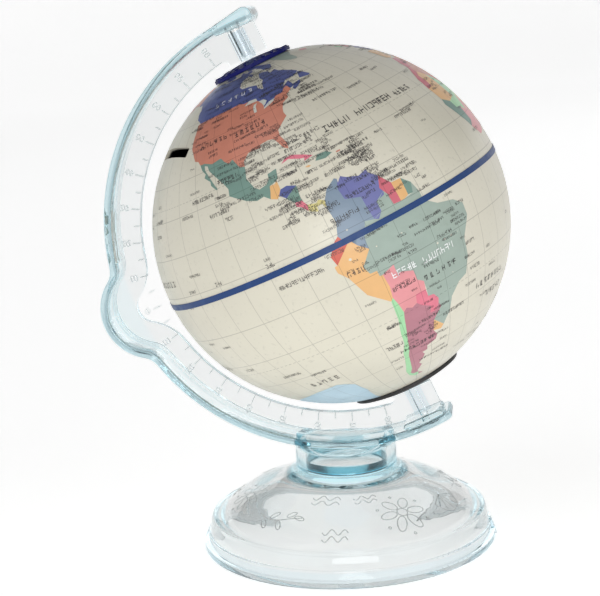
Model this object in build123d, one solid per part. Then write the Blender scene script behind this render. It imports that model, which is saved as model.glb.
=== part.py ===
"""Desktop globe money box on a clear stand, in millimetres.

Axes: +Z up, the origin on the base's own axis at the plane it stands on.
The C-shaped arm lies in the XZ plane, the north pole leans toward -X,
and the front faces -Y.
"""
from build123d import *
from math import acos, atan2, cos, hypot, pi, radians, sin, sqrt
import os

# ---- driving dimensions ---------------------------------------------------
GLOBE_R = 70.0          # outside radius of the globe
SHELL_T = 1.8           # wall of the two half shells
TILT = 23.5             # lean of the polar axis
CENTRE_X = -1.5         # the globe sits a little to the arm's side of the base
CENTRE_Z = 128.5

ARM_R = 89.2            # outer face of the arm's flange, from the globe's centre
FLANGE_T = 3.0
FLANGE_W = 18.5
WEB_IN_R = 75.9         # free inner edge of the web
WEB_T = 2.4
NORTH_OVERRUN = 6.2     # degrees the arm runs past the polar axis at the top
SOUTH_OVERRUN = 7.0     # and at the bottom
WEB_HALF = 8.0          # half width of the web tongue that reaches the pole
TONGUE_R = 72.75        # inner end of that tongue

GRIP_ANGLE = 202.6      # middle of the finger bump, counter-clockwise from +X
GRIP_R = 20.0
GRIP_CENTRE = 79.2      # bump circle's centre, from the globe's centre
GRIP_BLEND = 8.0

# thick pads at the arm's ends: reach before and after the axis, then the two
# distances from the globe's centre at each end, inner and outer
NORTH_PAD = (6.6, 9.7, (85.0, 88.95), (83.9, 91.1))
SOUTH_PAD = (8.0, 9.0, (83.8, 88.0), (83.8, 88.0))
NORTH_PAD_FORM = (19.1, 0.8, 2.8)   # width, and corner rounding at each end
SOUTH_PAD_FORM = (15.0, 1.6, 1.6)
EDGE_ROUND = 0.8        # long edges of the flange
END_ROUND = 3.0         # rounding of the flange's tips, seen along the axis

PIN_R = 1.60            # both pivot pins
BORE_R = 1.65           # what turns on them
SLEEVE_R = 3.25         # tube around the north pin
PIN_END_R = 60.0        # inner end of the pins

NECK_R = 20.3
NECK_BORE = 17.9
NECK_TOP = 38.4
COLLAR_TOP = 46.0       # before it is cut to follow the flange
COLLAR_BITE = 0.3       # how far the neck's top runs into the flange
ROOF_T = 1.2            # roof that closes the neck on both sides of the flange
PLUG_LOW = 31.4
PLUG_T = 1.4

RIM_R = 59.0            # lowest, widest step of the base
RIM_H = 3.0
STEP_R = 57.3
STEP_H = 6.6
RIB_OUT = 59.6          # small upright rib left by the mould on the right of the rim
RIB_W = 3.0
RIB_LOW, RIB_TOP = 1.0, 8.4

DIAL_R = 16.0
DIAL_IN, DIAL_OUT = 70.3, 71.7
DIAL_TICKS = 24

CAP_R = 22.2            # stopper's visible rim
CAP_OUT = 71.4
MOUTH_R = 19.6          # hole the stopper closes
SKIRT_R = 19.2
SKIRT_T = 1.8
SKIRT_LOW_R = 62.5
LUG_R = 21.6
LUG_IN, LUG_OUT = 65.6, 67.8
LUG_SPAN = 24.0         # degrees of each of the three lugs
NOTCH_R = 21.9
NOTCH_SPAN = 28.0
NOTCH_AT = 45.0         # turn from locked to free

SLOT_LAT, SLOT_LON = 49.2, -144.8
SLOT_LEN, SLOT_H = 26.0, 4.0
SLOT_ROLL = 6.5         # slot's slant from the parallel

BAND_HALF = 1.15
BAND_T = 0.25
LIP_HALF = 4.0
LIP_T = 1.4

FAR = 200.0


# ---- frames ---------------------------------------------------------------
def on_axis(shape):
    """Move a shape drawn about a vertical axis onto the leaning polar axis."""
    return Pos(CENTRE_X, 0, CENTRE_Z) * Rot(0, -TILT, 0) * shape


def off_axis(point):
    """Distance of a point in the arm's plane from the polar axis."""
    t = radians(TILT)
    return abs((point.X - CENTRE_X) * cos(t) + (point.Z - CENTRE_Z) * sin(t))


def ring_of(profile):
    """Turn a face drawn in the XZ plane into a full revolution about Z."""
    return revolve(profile, axis=Axis.Z)


def ball(r):
    return Sphere(r)


def cylinder(r, low, high):
    return Pos(0, 0, low) * Cylinder(r, high - low, align=(Align.CENTER, Align.CENTER, Align.MIN))


def tube(r_out, r_in, low, high):
    return cylinder(r_out, low, high) - cylinder(r_in, low - 1, high + 1)


def half_space(up=True):
    side = Align.MIN if up else Align.MAX
    return Box(FAR, FAR, FAR, align=(Align.CENTER, Align.CENTER, side))


def sector(span, middle=0.0, low=-FAR / 2, high=FAR / 2):
    """A wedge about Z that covers `span` degrees."""
    a = radians(span / 2)
    reach = 60.0
    with BuildSketch() as s:
        with BuildLine():
            Polyline((0, 0), (reach * cos(a), -reach * sin(a)), (reach * cos(a), reach * sin(a)), (0, 0))
        make_face()
    return Rot(0, 0, middle) * (Pos(0, 0, low) * extrude(s.sketch, high - low))


# ---- arm ------------------------------------------------------------------
def polar(r, angle, about=(0.0, 0.0)):
    return (about[0] + r * cos(angle), about[1] + r * sin(angle))


def arm_outline(inset=0.0):
    """The flange's outer edge, moved inward by `inset`, as a closed face.

    A large arc about the globe's centre runs through two blending arcs into
    the finger bump. The three centres stay put, only the radii change.
    """
    grip = radians(GRIP_ANGLE)
    bump = polar(GRIP_CENTRE, grip)
    r_far, r_near = ARM_R + GRIP_BLEND, GRIP_R + GRIP_BLEND
    swing = acos((r_far ** 2 + GRIP_CENTRE ** 2 - r_near ** 2) / (2 * r_far * GRIP_CENTRE))
    r_arm, r_bump, r_blend = ARM_R - inset, GRIP_R - inset, GRIP_BLEND + inset
    points = {}
    for side in (-1, 1):
        at = grip + side * swing
        blend = polar(r_far, at)
        to_bump = atan2(blend[1] - bump[1], blend[0] - bump[0])
        on_arm, on_bump = polar(r_arm, at), polar(r_bump, to_bump, bump)
        a0 = atan2(on_arm[1] - blend[1], on_arm[0] - blend[0])
        a1 = atan2(on_bump[1] - blend[1], on_bump[0] - blend[0])
        turn = (a1 - a0 + pi) % (2 * pi) - pi
        points[side] = (on_arm, polar(r_blend, a0 + turn / 2, blend), on_bump)
    with BuildSketch() as s:
        with BuildLine():
            ThreePointArc(points[1][0], polar(r_arm, grip + pi), points[-1][0])
            ThreePointArc(*points[-1])
            ThreePointArc(points[-1][2], polar(r_bump, grip, bump), points[1][2])
            ThreePointArc(points[1][2], points[1][1], points[1][0])
        make_face()
    return s.sketch


def arm_span(past_north=0.0, past_south=0.0):
    """The angular part of the plane that the arm covers, as a face."""
    start, end = 90 + TILT - past_north, 270 + TILT + past_south
    steps = 12
    rays = [polar(FAR, radians(start + (end - start) * i / steps)) for i in range(steps + 1)]
    with BuildSketch() as s:
        with BuildLine():
            Polyline((0, 0), *rays, close=True)
        make_face()
    return s.sketch


def upright(face, thickness):
    """Stand a face drawn in XY up in the XZ plane, centred on y = 0."""
    solid = extrude(face, thickness / 2, both=True)
    return Pos(CENTRE_X, 0, CENTRE_Z) * (Rot(90, 0, 0) * solid)


def axis_strip(before, after, r_low, r_high, top=True):
    """A straight strip across the polar axis, drawn in the arm's plane."""
    sign = 1 if top else -1
    strip = Pos(sign * (after - before) / 2, sign * (r_low + r_high) / 2) * Rectangle(
        before + after, r_high - r_low)
    return Rot(0, 0, TILT) * strip


def build_pad(size, form, turn):
    """A thick pad across the polar axis, drawn for the north end and turned for the south."""
    (before, after, (left_in, left_out), (right_in, right_out)), (width, left_round, right_round) = size, form
    pad = Polygon((-before, left_in), (after, right_in), (after, right_out), (-before, left_out), align=None)
    pad = fillet(pad.vertices().sort_by(Axis.X)[:2], left_round)
    pad = fillet(pad.vertices().sort_by(Axis.X)[-2:], right_round)
    pad = upright(Rot(0, 0, TILT + turn) * pad, width)
    return fillet(pad.edges().filter_by(Axis.Y, reverse=True), 0.7)


def rounded_by_arm(r):
    """A long bar about the globe's centre, lying along Y, that shapes the neck's top."""
    return Pos(CENTRE_X, 0, CENTRE_Z) * (Rot(90, 0, 0) * Cylinder(r, FAR))


def build_arm():
    flange = (arm_outline() - arm_outline(FLANGE_T)) & arm_span(NORTH_OVERRUN, SOUTH_OVERRUN)
    web = arm_outline(FLANGE_T / 2) - arm_outline(ARM_R - WEB_IN_R)
    web = web & arm_span()
    for top in (True, False):
        reach = ARM_R - FLANGE_T / 2
        tongue = axis_strip(WEB_HALF, WEB_HALF, TONGUE_R, reach, top) - Circle(TONGUE_R)
        web = web + (tongue & Circle(reach))
    arm = upright(flange, FLANGE_W)
    arm = fillet([e for e in arm.edges() if off_axis(e.center()) > 8.5 and e.length < FLANGE_T + 0.5
                  and abs(abs(e.center().Y) - FLANGE_W / 2) < 0.01], END_ROUND)
    rims = [e for e in arm.edges() if e.length > 6 and abs(e.center().Y) > 0.5
            and abs(e.center().Y) < FLANGE_W / 2 + 0.1 and not e.geom_type == GeomType.LINE]
    arm = fillet(rims, EDGE_ROUND)
    web = upright(web, WEB_T)
    corners = [e for e in web.edges().filter_by(Axis.Y)
               if abs(hypot(e.center().X - CENTRE_X, e.center().Z - CENTRE_Z) - WEB_IN_R) < 0.05
               and off_axis(e.center()) < WEB_HALF + 0.5]
    web = fillet(corners, 2.0)
    arm = arm + web
    arm = arm + build_pad(NORTH_PAD, NORTH_PAD_FORM, 0) + build_pad(SOUTH_PAD, SOUTH_PAD_FORM, 180)
    room = cylinder(NECK_BORE - PLUG_T, NECK_TOP - 1, COLLAR_TOP) - rounded_by_arm(ARM_R + ROOF_T)
    collar = cylinder(NECK_R, NECK_TOP, COLLAR_TOP) - rounded_by_arm(ARM_R - COLLAR_BITE) - room
    plug = tube(NECK_BORE, NECK_BORE - PLUG_T, PLUG_LOW, NECK_TOP + 0.5)
    arm = arm + (collar + plug)
    north = on_axis(cylinder(SLEEVE_R, TONGUE_R - 5, ARM_R - 2.5))
    south = on_axis(cylinder(PIN_R, -(ARM_R - 2.5), -50))
    return arm - north - south


def build_north_pivot():
    sleeve = cylinder(SLEEVE_R, DIAL_OUT + 0.35, ARM_R - 2.5)
    pin = cylinder(PIN_R, PIN_END_R, DIAL_OUT + 1)
    pin = chamfer(pin.edges().sort_by(Axis.Z)[0], 0.4)
    return on_axis(sleeve + pin)


def build_south_pivot():
    pin = cylinder(PIN_R, -(ARM_R - 2.5), -PIN_END_R)
    pin = chamfer(pin.edges().sort_by(Axis.Z)[-1], 0.4)
    return on_axis(pin)


# ---- base -----------------------------------------------------------------
def build_base():
    with BuildSketch(Plane.XZ) as s:
        with BuildLine():
            l1 = Polyline((NECK_BORE, PLUG_LOW - 1.0), (NECK_BORE, NECK_TOP), (NECK_R, NECK_TOP),
                          (NECK_R, 33.4))
            l2 = Spline((NECK_R, 33.4), (22.8, 29.8), (34.0, 24.3), (45.0, 19.0), (53.4, 12.9),
                        (56.6, STEP_H), tangents=((0, -1), (0.12, -1)))
            l3 = Polyline((56.6, STEP_H), (STEP_R, STEP_H), (STEP_R, RIM_H), (RIM_R, RIM_H),
                          (RIM_R, 0), (56.6, 0), (55.2, 1.4), (54.4, STEP_H - 1.4))
            l4 = Spline((54.4, STEP_H - 1.4), (51.6, 11.2), (43.9, 17.1), (33.0, 22.3), (22.4, 27.0),
                        (NECK_BORE, PLUG_LOW - 1.0), tangents=((-0.3, 1), (-0.6, 1)))
        make_face()
    base = ring_of(s.sketch)
    lower = [e for e in base.edges().filter_by(GeomType.CIRCLE)
             if abs(e.radius - RIM_R) < 0.01 or (abs(e.radius - STEP_R) < 0.01 and e.center().Z > 5)]
    base = fillet(lower, 0.6)
    with BuildSketch(Plane.XZ) as rib:
        Polygon((STEP_R - 1.5, RIB_TOP), (STEP_R - 0.2, RIB_TOP), (RIB_OUT, RIB_LOW), (STEP_R - 1.5, RIB_LOW),
                align=None)
    return base + extrude(rib.sketch, RIB_W / 2, both=True)


# ---- globe ----------------------------------------------------------------
def direction(lat, lon):
    a, b = radians(lat), radians(lon)
    return Vector(cos(a) * cos(b), cos(a) * sin(b), sin(a))


def coin_slot():
    """A straight coin slot through the north shell, its long side near a parallel."""
    n = direction(SLOT_LAT, SLOT_LON)
    east = Vector(-sin(radians(SLOT_LON)), cos(radians(SLOT_LON)), 0)
    plane = Plane(origin=n * GLOBE_R, x_dir=east, z_dir=n)
    cutter = Box(SLOT_LEN, SLOT_H, 24.0)
    cutter = fillet(cutter.edges().filter_by(Axis.Z), 0.6)
    return plane * (Rot(0, 0, -SLOT_ROLL) * cutter)


def build_north_shell():
    shell = (ball(GLOBE_R) - ball(GLOBE_R - SHELL_T)) & half_space(True)
    bush = cylinder(4.0, PIN_END_R + 3.5, GLOBE_R - 0.6) & ball(GLOBE_R)
    shell = shell + bush - cylinder(BORE_R, 40, 90)
    return on_axis(shell - coin_slot())


def notches():
    cut = sector(NOTCH_SPAN, NOTCH_AT) & cylinder(NOTCH_R, -FAR / 2, 0)
    return cut + Rot(0, 0, 120) * cut + Rot(0, 0, 240) * cut


def build_south_shell():
    shell = (ball(GLOBE_R) - ball(GLOBE_R - SHELL_T)) & half_space(False)
    shell = shell - cylinder(MOUTH_R, -FAR / 2, 0) - notches()
    return on_axis(shell)


def build_joint_ring():
    ring = ball(GLOBE_R - SHELL_T) - ball(GLOBE_R - SHELL_T - LIP_T)
    return on_axis(ring & cylinder(FAR / 2, -LIP_HALF, LIP_HALF))


def build_band():
    band = ball(GLOBE_R + BAND_T) - ball(GLOBE_R)
    return on_axis(band & cylinder(FAR / 2, -BAND_HALF, BAND_HALF))


# ---- hour dial and stopper ------------------------------------------------
def build_dial():
    dish = (ball(DIAL_OUT) - ball(DIAL_IN)) & cylinder(DIAL_R, 0, FAR / 2)
    rim_z = sqrt(DIAL_OUT ** 2 - (DIAL_R - 0.9) ** 2)
    dish = dish - cylinder(BORE_R, 0, FAR / 2)
    ticks = []
    for i in range(DIAL_TICKS):
        tick = Pos(DIAL_R - 1.9, 0, rim_z - 0.3) * Box(2.6, 0.8, 1.5)
        ticks.append(Rot(0, 0, i * 360 / DIAL_TICKS) * tick)
    body = dish
    for tick in ticks:
        body = body + (tick & cylinder(DIAL_R, 0, FAR / 2))
    return on_axis(body)


def build_stopper():
    cap = (ball(CAP_OUT) - ball(GLOBE_R + 0.3)) & cylinder(CAP_R, -FAR / 2, 0)
    plate = (ball(GLOBE_R + 0.6) - ball(GLOBE_R - SHELL_T)) & cylinder(SKIRT_R, -FAR / 2, 0)
    skirt = tube(SKIRT_R, SKIRT_R - SKIRT_T, -68.5, -SKIRT_LOW_R + 2.2) & ball(CAP_OUT)
    lug = (ball(LUG_OUT) - ball(LUG_IN)) & tube(LUG_R, SKIRT_R - 0.8, -FAR / 2, 0)
    lug = lug & sector(LUG_SPAN, 0)
    lugs = lug + Rot(0, 0, 120) * lug + Rot(0, 0, 240) * lug
    boss = cylinder(4.2, -70.0, -PIN_END_R - 2.5)
    whole = cap + plate + skirt + lugs + boss - cylinder(BORE_R, -90, -40)
    return on_axis(whole)


PARTS = {
    "base_dome": build_base,
    "meridian_arm": build_arm,
    "north_pivot": build_north_pivot,
    "south_pivot": build_south_pivot,
    "north_shell": build_north_shell,
    "south_shell": build_south_shell,
    "joint_ring": build_joint_ring,
    "equator_band": build_band,
    "hour_dial": build_dial,
    "stopper_cap": build_stopper,
}

os.makedirs("parts", exist_ok=True)
for name, make in PARTS.items():
    solid = make()
    solid.label = name
    export_step(solid, f"parts/{name}.step")
    box = solid.bounding_box()
    print(name, "volume", round(solid.volume / 1000, 2), "cm3 solids", len(solid.solids()),
          "box", [round(v, 1) for v in (*box.min, *box.max)])
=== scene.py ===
"""Looks for a desktop globe money box: printed globe, clear plastic arm and base, hour dial and stopper."""

import logging
import math
import random
import re
from dataclasses import dataclass, field
from enum import Enum
from typing import Sequence

import bmesh
import bpy
from mathutils import Matrix, Vector
from mathutils.bvhtree import BVHTree


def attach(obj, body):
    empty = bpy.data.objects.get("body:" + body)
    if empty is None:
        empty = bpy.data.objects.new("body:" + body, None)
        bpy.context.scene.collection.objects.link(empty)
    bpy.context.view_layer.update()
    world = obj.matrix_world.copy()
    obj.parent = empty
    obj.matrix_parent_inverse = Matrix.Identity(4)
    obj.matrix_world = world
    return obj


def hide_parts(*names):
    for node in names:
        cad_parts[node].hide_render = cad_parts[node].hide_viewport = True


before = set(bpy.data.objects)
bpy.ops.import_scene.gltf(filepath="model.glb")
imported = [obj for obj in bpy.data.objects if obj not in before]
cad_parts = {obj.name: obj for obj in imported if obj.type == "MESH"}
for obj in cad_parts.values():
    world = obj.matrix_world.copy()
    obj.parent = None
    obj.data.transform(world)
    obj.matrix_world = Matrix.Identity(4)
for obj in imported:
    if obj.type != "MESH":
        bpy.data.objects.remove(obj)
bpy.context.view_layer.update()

MM = 0.001
TURN = 2 * math.pi
LOG = logging.getLogger("globe")
Socket, Material, Object = bpy.types.NodeSocket, bpy.types.Material, bpy.types.Object
Shape, Mesh = bmesh.types.BMesh, bpy.types.Mesh
Spot, Colour = tuple[float, float], tuple[float, float, float]


def linear(red: float, green: float, blue: float) -> Colour:
    """Turn display colour values of 0 to 255 into linear ones.

    Args:
        red, green, blue: the colour as it shows on a screen.

    Returns:
        The same colour as linear values of 0 to 1.
    """
    return tuple((c / 255 / 12.92) if c <= 10 else ((c / 255 + 0.055) / 1.055) ** 2.4
                 for c in (red, green, blue))


class Ink(Enum):
    """Printing inks of the political map, as display colours."""

    INDIGO = (84, 94, 148)
    SALMON = (196, 128, 108)
    TEAL = (112, 142, 132)
    SAGE = (150, 166, 156)
    MAUVE = (172, 116, 128)
    ROSE = (212, 116, 134)
    PINK = (214, 142, 146)
    SAND = (218, 172, 116)
    MINT = (152, 204, 156)
    SLATE = (122, 140, 158)
    VIOLET = (108, 112, 164)
    BRICK = (196, 84, 66)
    ICE = (178, 202, 216)
    CRIMSON = (194, 98, 112)
    STRAW = (206, 196, 132)
    WATER = (198, 200, 192)


# ---------------------------------------------------------------- materials
@dataclass
class Nodes:
    """A short way to lay out one material's node tree."""

    material: Material

    @classmethod
    def fresh(cls, name: str) -> "Nodes":
        """Start an empty material of that name."""
        material = bpy.data.materials.new(name)
        material.use_nodes = True
        material.node_tree.nodes.clear()
        return cls(material)

    def add(self, kind: str, **values: object) -> bpy.types.Node:
        """Add a node.

        Args:
            kind: the node's type without its ShaderNode prefix.
            values: attributes of the node to set.

        Returns:
            The new node.
        """
        node = self.material.node_tree.nodes.new("ShaderNode" + kind)
        for key, value in values.items():
            setattr(node, key, value)
        return node

    def link(self, source: Socket, target: Socket) -> None:
        """Join an output to an input."""
        self.material.node_tree.links.new(source, target)

    def math(self, operation: str, *inputs: object) -> Socket:
        """Add a Math node.

        Args:
            operation: the node's operation.
            inputs: numbers or output sockets, in order.

        Returns:
            The node's output.
        """
        node = self.add("Math", operation=operation)
        for socket, value in zip(node.inputs, inputs):
            if isinstance(value, (int, float)):
                socket.default_value = value
            else:
                self.link(value, socket)
        return node.outputs[0]

    def times(self, *inputs: object) -> Socket:
        """Multiply numbers or sockets together."""
        first, *others = inputs
        for other in others:
            first = self.math("MULTIPLY", first, other)
        return first

    def length(self, x: Socket, y: Socket) -> Socket:
        """The length of a flat vector."""
        return self.math("SQRT", self.math("ADD", self.times(x, x), self.times(y, y)))

    def blend(self, factor: object, first: object, second: object) -> Socket:
        """Mix two colours, each a linear triple or a socket, by a factor socket or number."""
        node = self.add("Mix", data_type="RGBA")
        for socket, value in zip((node.inputs[0], node.inputs[6], node.inputs[7]), (factor, first, second)):
            if isinstance(value, Socket):
                self.link(value, socket)
            elif isinstance(value, (int, float)):
                socket.default_value = value
            else:
                socket.default_value = (*value, 1.0)
        return node.outputs[2]

    def noise(self, scale: float, detail: float = 3.0) -> Socket:
        """Noise on the piece's own coordinates, as a value of 0 to 1."""
        node = self.add("TexNoise")
        node.inputs["Scale"].default_value = scale
        node.inputs["Detail"].default_value = detail
        self.link(self.add("TexCoord").outputs["Object"], node.inputs["Vector"])
        return node.outputs["Fac"]

    def between(self, value: Socket, low: float, high: float, to_low: float = 0.0,
                to_high: float = 1.0) -> Socket:
        """Remap a value smoothly from one range to another, clamped at both ends."""
        node = self.add("MapRange", interpolation_type="SMOOTHSTEP")
        for socket, number in zip(node.inputs[1:5], (low, high, to_low, to_high)):
            socket.default_value = number
        self.link(value, node.inputs[0])
        return node.outputs[0]

    def bump(self, height: Socket, distance: float, strength: float = 0.4) -> Socket:
        """A bump normal from a height, with its depth in metres."""
        node = self.add("Bump")
        node.inputs["Strength"].default_value = strength
        node.inputs["Distance"].default_value = distance
        self.link(height, node.inputs["Height"])
        return node.outputs[0]

    def principled(self, **values: object) -> bpy.types.Node:
        """Add the main shader.

        Args:
            values: its inputs by name, with _ for a space, each a number, a colour or a socket.

        Returns:
            The shader node.
        """
        shader = self.add("BsdfPrincipled")
        for name, value in values.items():
            socket = shader.inputs[name.replace("_", " ")]
            if isinstance(value, Socket):
                self.link(value, socket)
            else:
                socket.default_value = value
        return shader

    def finish(self, shader: bpy.types.Node) -> Material:
        """Wire a shader to the output and return the material."""
        self.link(shader.outputs[0], self.add("OutputMaterial").inputs["Surface"])
        return self.material


@dataclass(frozen=True)
class GlobePlace:
    """Where the globe stands and how its map lies on it."""

    centre: Vector = field(default_factory=lambda: Vector((-0.0015, 0.0, 0.1285)))
    lean: float = math.radians(23.5)
    radius: float = 0.070
    north_shift: float = -1.8
    south_shift: float = -4.0
    north_form: Spot = (0.69, 0.0031)
    south_form: Spot = (0.646, 0.0040)

    def matrix(self) -> Matrix:
        """Polar frame: origin at the centre, +Z through the north pole."""
        return Matrix.Translation(self.centre) @ Matrix.Rotation(-self.lean, 4, "Y")

    def formed(self, lon: float, lat: float) -> Spot:
        """Where a place on the map lies after the sheet was drawn over its mould.

        Args:
            lon: longitude on the map, in degrees.
            lat: latitude on the map, in degrees.

        Returns:
            Longitude and latitude on the ball, in degrees.
        """
        first, second = self.north_form if lat >= 0 else self.south_form
        from_pole = 90 - abs(lat)
        stretched = from_pole * (first + second * from_pole)
        if lat >= 0:
            stretched = min(stretched + max(0.0, from_pole - 80) * 0.278, 90)
        blend = min(max((lat + 1.0) / 2.0, 0.0), 1.0)
        shift = self.south_shift + (self.north_shift - self.south_shift) * blend
        return lon + shift, math.copysign(90 - stretched, lat)

    def spot(self, lon: float, lat: float, lift: float) -> Vector:
        """A point on the ball, for a longitude and latitude on the ball itself."""
        a, b = math.radians(lat), math.radians(lon)
        local = Vector((math.cos(a) * math.cos(b), math.cos(a) * math.sin(b), math.sin(a)))
        return self.matrix() @ (local * (self.radius + lift))


PLACE = GlobePlace()


@dataclass(frozen=True)
class MapPrint:
    """A printed plastic skin: one ink, with the map's grid lines printed over it."""

    ink: Ink
    line_width: float = 0.15
    line_strength: float = 0.42
    line_step: float = 10.0
    tropic: float = 66.55
    dash: Spot = (2.0, 0.45)
    pole_gap: float = 0.12

    def from_centre(self, n: Nodes) -> Socket:
        """Object coordinates measured from the ball's centre, with Z through the north pole."""
        mapping = n.add("Mapping", vector_type="TEXTURE")
        mapping.inputs["Location"].default_value = PLACE.centre
        mapping.inputs["Rotation"].default_value = (0, -PLACE.lean, 0)
        n.link(n.add("TexCoord").outputs["Object"], mapping.inputs["Vector"])
        return mapping.outputs[0]

    def varnished(self, n: Nodes, tone: Socket, normal: Socket) -> Material:
        """Finish a printed skin with its satin gloss and thin varnish."""
        gloss = n.between(n.noise(420.0, 2.0), 0.2, 0.8, 0.30, 0.42)
        return n.finish(n.principled(Base_Color=tone, Roughness=gloss, Normal=normal, Specular_IOR_Level=0.42,
                                     Coat_Weight=0.12, Coat_Roughness=0.2))

    def grid(self, n: Nodes) -> Socket:
        """Grid lines every ten degrees and dashed tropics, as a 0 to 1 mask."""
        parts = n.add("SeparateXYZ")
        n.link(self.from_centre(n), parts.inputs[0])
        x, y, z = parts.outputs
        flat = n.length(x, y)
        north = n.math("GREATER_THAN", z, 0.0)
        degree = 180 / math.pi
        from_pole = n.times(n.math("ARCTAN2", flat, n.math("ABSOLUTE", z)), degree)
        first = n.math("ADD", n.times(north, PLACE.north_form[0] - PLACE.south_form[0]), PLACE.south_form[0])
        second = n.math("ADD", n.times(north, PLACE.north_form[1] - PLACE.south_form[1]), PLACE.south_form[1])
        root = n.math("SQRT", n.math("ADD", n.times(first, first), n.times(second, 4.0, from_pole)))
        printed = n.math("DIVIDE", n.math("SUBTRACT", root, first), n.times(second, 2.0))
        shift = n.math("ADD", n.times(north, PLACE.south_shift - PLACE.north_shift), -PLACE.south_shift)
        lon = n.math("ADD", n.times(n.math("ARCTAN2", y, x), degree), shift)
        mm_across = n.times(flat, 1000 * math.pi / 180)

        def near(value: Socket, step: float) -> Socket:
            """Distance in degrees to the nearest multiple of a step."""
            scaled = n.math("DIVIDE", value, step)
            return n.times(n.math("ABSOLUTE", n.math("SUBTRACT", scaled, n.math("ROUND", scaled))), step)

        mm_along = PLACE.radius * 1000 * math.pi / 180
        across = n.times(near(lon, self.line_step), mm_across)
        along = n.times(near(printed, self.line_step), mm_along)
        tropic = n.times(n.math("ABSOLUTE", n.math("SUBTRACT", printed, self.tropic)), mm_along)
        dash_step, dash_gap = self.dash
        dash = n.math("GREATER_THAN", near(lon, dash_step), dash_gap)
        w = self.line_width
        across, along, tropic = (n.between(gap, w * 0.4, w, 1.0, 0.0) for gap in (across, along, tropic))
        full, dashed = n.math("MAXIMUM", across, along), n.times(tropic, dash)
        away = n.math("GREATER_THAN", mm_across, self.pole_gap)
        return n.times(n.math("MAXIMUM", full, dashed), away)

    def material(self) -> Material:
        """Build the finish."""
        n = Nodes.fresh("print_" + self.ink.name.lower())
        colour = linear(*self.ink.value)
        mottle = n.between(n.noise(140.0, 4.0), 0.3, 0.7)
        cloud = n.between(n.noise(28.0, 2.0), 0.35, 0.65)
        tone = n.blend(mottle, tuple(c * 0.965 for c in colour), tuple(min(c * 1.03, 1) for c in colour))
        warm = tuple(c * k for c, k in zip(colour, (1.0, 0.985, 0.95)))
        tone = n.blend(n.times(cloud, 0.5), tone, warm)
        grid = n.times(self.grid(n), self.line_strength)
        tone = n.blend(grid, tone, tuple(c * 0.30 for c in colour))
        return self.varnished(n, tone, n.bump(n.noise(900.0, 2.0), 0.00004, 0.25))


@dataclass(frozen=True)
class ShellPrint(MapPrint):
    """The half shells: cream outside with the grid, dark and unlit inside."""

    ink: Ink = Ink.WATER
    sea: Colour = (207, 203, 187)
    line: Colour = (96, 92, 86)
    inside: Colour = (26, 26, 28)
    skin: Spot = (0.0684, 0.0693)

    def material(self) -> Material:
        """Build the finish."""
        n = Nodes.fresh("print_shell")
        sea = linear(*self.sea)
        cloud = n.between(n.noise(22.0, 3.0), 0.35, 0.68)
        tone = n.blend(cloud, tuple(c * 0.97 for c in sea), tuple(c * 1.03 for c in sea))
        speck = n.between(n.noise(700.0, 4.0), 0.28, 0.42)
        tone = n.blend(speck, tuple(c * 0.90 for c in sea), tone)
        grid = n.times(self.grid(n), self.line_strength)
        tone = n.blend(grid, tone, linear(*self.line))
        length = n.add("VectorMath", operation="LENGTH")
        n.link(self.from_centre(n), length.inputs[0])
        inner = n.between(length.outputs["Value"], *self.skin, 1.0, 0.0)
        tone = n.blend(inner, tone, linear(*self.inside))
        return self.varnished(n, tone, n.bump(n.noise(260.0, 3.0), 0.00006, 0.3))


@dataclass(frozen=True)
class ClearZones:
    """Where the clear moulding changes tone, in metres; a pair is where a change starts and ends."""

    arm_above: Spot = (0.0385, 0.0395)
    flange_from: Spot = (0.0855, 0.0868)
    dome_below: Spot = (0.0290, 0.0310)
    neck_from: Spot = (0.0265, 0.0295)
    neck_to: Spot = (0.0335, 0.0355)
    neck_width: Spot = (0.0215, 0.0255)
    rim_width: Spot = (0.0560, 0.0568)
    rim_below: Spot = (0.0050, 0.0070)
    # Painted shade lines: along the flange's outer corners and around the grip bump, standing in for the dark
    # surroundings that real glass edges refract.
    corner: Spot = (0.0868, 0.0010)
    corner_width: Spot = (0.0076, 0.0086)
    bump_middle: Spot = (0.0731, 0.0304)
    bump_corner: Spot = (0.0176, 0.0010)
    bump_from: float = 0.0872
    # Painted shade line along the arm's inner edge, away from the pivots.
    lip: Spot = (0.0760, 0.00035)
    lip_from: Spot = (0.0096, 0.0104)
    sleeve_width: Spot = (0.0036, 0.0040)
    sleeve_from: Spot = (0.0715, 0.0720)
    sleeve_to: Spot = (0.0835, 0.0840)


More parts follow.
